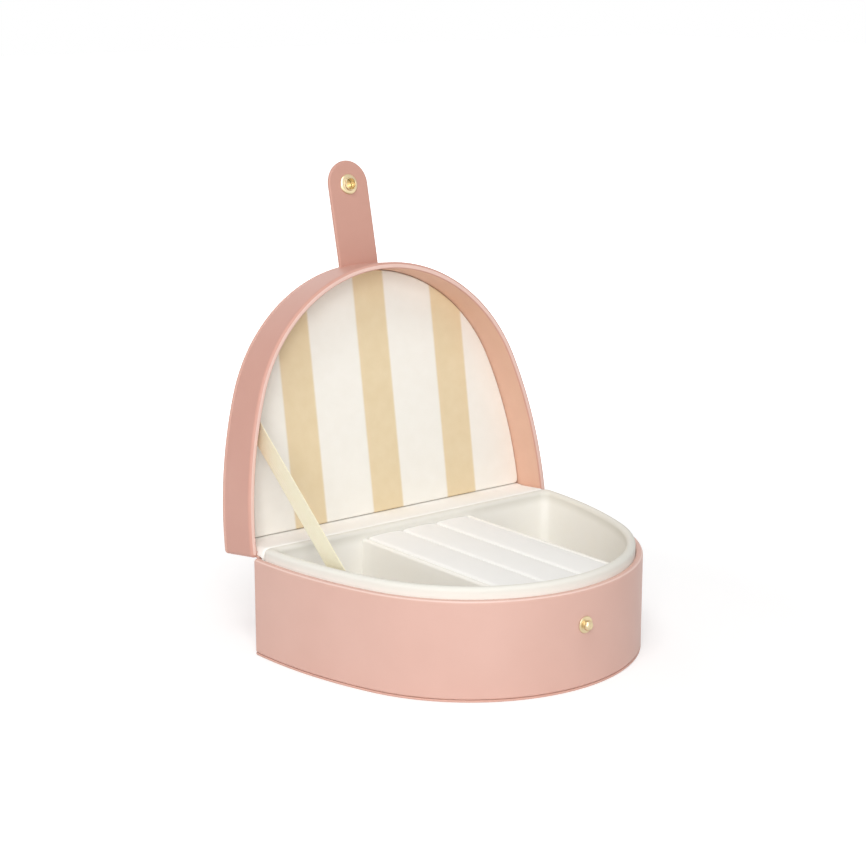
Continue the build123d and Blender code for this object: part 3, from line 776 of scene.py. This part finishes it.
# %% Ribbon
forward = np.gradient(path, axis=0)
forward /= np.linalg.norm(forward, axis=1, keepdims=True)
across = np.cross(forward, [1.0, 0, 0])
across /= np.linalg.norm(across, axis=1, keepdims=True)
facing = np.cross(across, forward)
wide, deep = RIBBON_WIDTH / 2, RIBBON / 2
flat_edge = rounded([(-wide, -deep), (wide, -deep), (wide, deep), (-wide, deep)], 0.12, steps=3)
grid = path[None] + across[None] * flat_edge[:, :1, None] + facing[None] * flat_edge[:, 1:, None]
ribbon = skin("stay_ribbon_cloth", grid, ribbon_finish, along=True, ends=True)
place = np.empty(3 * len(ribbon.data.vertices))
ribbon.data.vertices.foreach_get("co", place)
corners = np.empty(len(ribbon.data.loops), int)
ribbon.data.loops.foreach_get("vertex_index", corners)
away = place.reshape(-1, 3)[corners] - lower * MM
uv = np.stack([away @ np.cross(along, [1.0, 0, 0]), away @ along], axis=1)
ribbon.data.uv_layers.new(name="cloth").data.foreach_set("uv", uv.ravel())
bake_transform(ribbon)
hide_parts("stay_ribbon")

# %% [markdown]
# ## The strap
# The strap is two faces of leather round a stiffener, with rounded edges and a round tip. It is glued in behind
# the pad, comes out through the lid's wall and leans back. Seen flat it is an outline with a hole for the press
# stud: rows run from the hole out to the edge on one side, round the edge, and back to the hole on the other side.

# %% Strap
STRAP_HALF, STRAP_THICK, TIP, ROOT, REACH = 10.9, 1.8, 46.1, 14.0, 35.1
FOLD_Y, FOLD_H, FOLD_RUN, LEAN = -121.9, 19.65, 2.8, np.radians(4)
SOCKET_HOLE, DENSE_FROM = 3.05, 0.66


def on_strap(points):
    """Carries flat strap points to the open lid, straight before the fold and leaning after it."""
    x, y, z = np.moveaxis(points, -1, 0)
    lean_y, lean_h = y * np.cos(LEAN) + z * np.sin(LEAN), z * np.cos(LEAN) - y * np.sin(LEAN)
    share = ease((FOLD_RUN / 2 - y) / FOLD_RUN)
    return on_lid(np.stack([x, FOLD_Y + y + (lean_y - y) * share, FOLD_H + z + (lean_h - z) * share], axis=-1))


def strap_rows(hole, thick):
    """Rows from the hole to the outline on top, round a half circle at the edge, and back underneath.

    The rows lie closer together towards the outline, so that the fold near the lid bends in small steps.
    """
    edge = thick / 2
    half = STRAP_HALF - edge
    arc = np.linspace(0, -np.pi, 41)[1:-1]
    tip_y = STRAP_HALF - TIP
    run = np.linspace(ROOT, tip_y, 120)
    across = np.linspace(-half, half, 17)[1:-1]
    x = np.concatenate([half + 0 * run, half * np.cos(arc), -half + 0 * run, across])
    y = np.concatenate([run, tip_y + half * np.sin(arc), run[::-1], ROOT + 0 * across])
    out_x = np.concatenate([1 + 0 * run, np.cos(arc), -1 + 0 * run, 0 * across])
    out_y = np.concatenate([0 * run, np.sin(arc), 0 * run, 1 + 0 * across])
    far = np.hypot(x, y + REACH)
    hole_x, hole_y = hole * x / far, hole * (y + REACH) / far - REACH
    out = np.concatenate([np.linspace(0, DENSE_FROM, 14)[:-1], np.linspace(DENSE_FROM, 1, 52)])
    share = np.concatenate([out, np.ones(9), out[::-1]])[:, None]
    turn = np.concatenate([0 * out, np.linspace(0, np.pi, 11)[1:-1], np.pi + 0 * out])[:, None]
    grid_x = hole_x + (x - hole_x) * share + out_x * edge * np.sin(turn)
    grid_y = hole_y + (y - hole_y) * share + out_y * edge * np.sin(turn)
    return np.stack([grid_x, grid_y, edge * np.cos(turn) + 0 * grid_x], axis=-1)


grid = on_strap(strap_rows(SOCKET_HOLE, STRAP_THICK))
strap = skin("leather_strap", grid, strap_leather, around=True, along=True)
fold = [on_lid(np.array([0, y, FOLD_H])) * MM for y in (-DEPTH - 0.1, -DEPTH - 2.7)]
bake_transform(strap)
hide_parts("strap_face", "strap_core", "strap_lining", "strap_root")

# %% [markdown]
# ## The press stud
# Ball, socket and cap are turned parts, so each is a profile of radius and height swept round an axis. The ball
# is riveted to the front of the box. Its flat tip has the small dimple that the riveting tool leaves.

# %% Ball
STUD_HEIGHT, STUD_CREASE = 28.1, 50
BALL, NECK, FLANGE, CROWN, TIP_TURN = 2.2, 1.7, 0.7, 1.75, 0.3


def turned(profile, columns=72):
    """A profile of (radius, height) swept round the z axis: x and y are radius times cosine and sine."""
    radius, height = np.asarray(profile, float).T[:, :, None]
    turn = np.linspace(0, 2 * np.pi, columns, endpoint=False)[None]
    return np.stack([radius * np.cos(turn), radius * np.sin(turn), height + 0 * turn], axis=-1)


middle = FLANGE + 1.2
top = middle + CROWN * np.cos(TIP_TURN)
arc = np.linspace(np.pi - np.arcsin(NECK / BALL), TIP_TURN, 22)
flange_profile = [(0.0, -3.0), (1.2, -3.0), (1.2, 0.02), (3.45, 0.02), (3.62, 0.08), (3.7, 0.22), (3.68, 0.4),
                  (3.55, 0.55), (3.3, 0.64), (2.6, 0.68), (1.8, FLANGE)]
ball_profile = np.stack([BALL * np.sin(arc), middle + CROWN * np.cos(arc)], axis=1)
dimple_profile = [(0.5, top - 0.03), (0.35, top - 0.14), (0.0, top - 0.2)]
points = turned(np.vstack([flange_profile, ball_profile, dimple_profile]))
grid = on_base(np.stack([points[..., 0], -DEPTH - points[..., 2], STUD_HEIGHT + points[..., 1]], axis=-1))
stud = skin("gold_stud", grid, gold, around=True, crease=STUD_CREASE)
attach(stud, "base")
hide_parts("front_stud")

# %% [markdown]
# ## Socket and cap
# The socket sits on the strap's inner face: a tube that grips the ball, with a sloping flange round it. The cap
# on the outer face is a low dome. Both are drawn on the flat strap and carried to its place like the strap itself.

# %% Socket and cap
CAP_RADIUS, CAP_EDGE, CAP_DOME = 5.2, 0.25, 0.85

socket_profile = [(2.5, 1.5), (2.5, -1.6), (2.53, -1.78), (2.62, -1.88), (2.75, -1.9), (2.88, -1.87),
                  (2.97, -1.78), (3.0, -1.6), (3.0, -1.05), (3.06, -0.95), (3.25, -0.9), (3.7, -0.78),
                  (4.15, -0.58), (4.5, -0.33), (4.66, -0.15), (4.7, 0.02), (3.0, 0.02), (3.0, 1.5)]
grid = on_strap(turned(socket_profile) + np.array([0, -REACH, -STRAP_THICK / 2]))
socket = skin("gold_socket", grid, gold, around=True, along=True, crease=STUD_CREASE)
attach(socket, "strap")
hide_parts("snap_socket")

dome = np.linspace(np.pi / 2, 0, 16)
cap_profile = np.vstack([[(0.0, -0.28), (2.3, -0.28), (2.3, 0.0), (5.0, 0.0), (5.15, 0.1)],
                         np.stack([CAP_RADIUS * np.sin(dome), CAP_EDGE + CAP_DOME * np.cos(dome)], axis=1)])
grid = on_strap(turned(cap_profile) + np.array([0, -REACH, STRAP_THICK / 2]))
cap = skin("gold_cap", grid, gold, around=True, crease=STUD_CREASE)
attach(cap, "strap")
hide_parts("snap_cap")
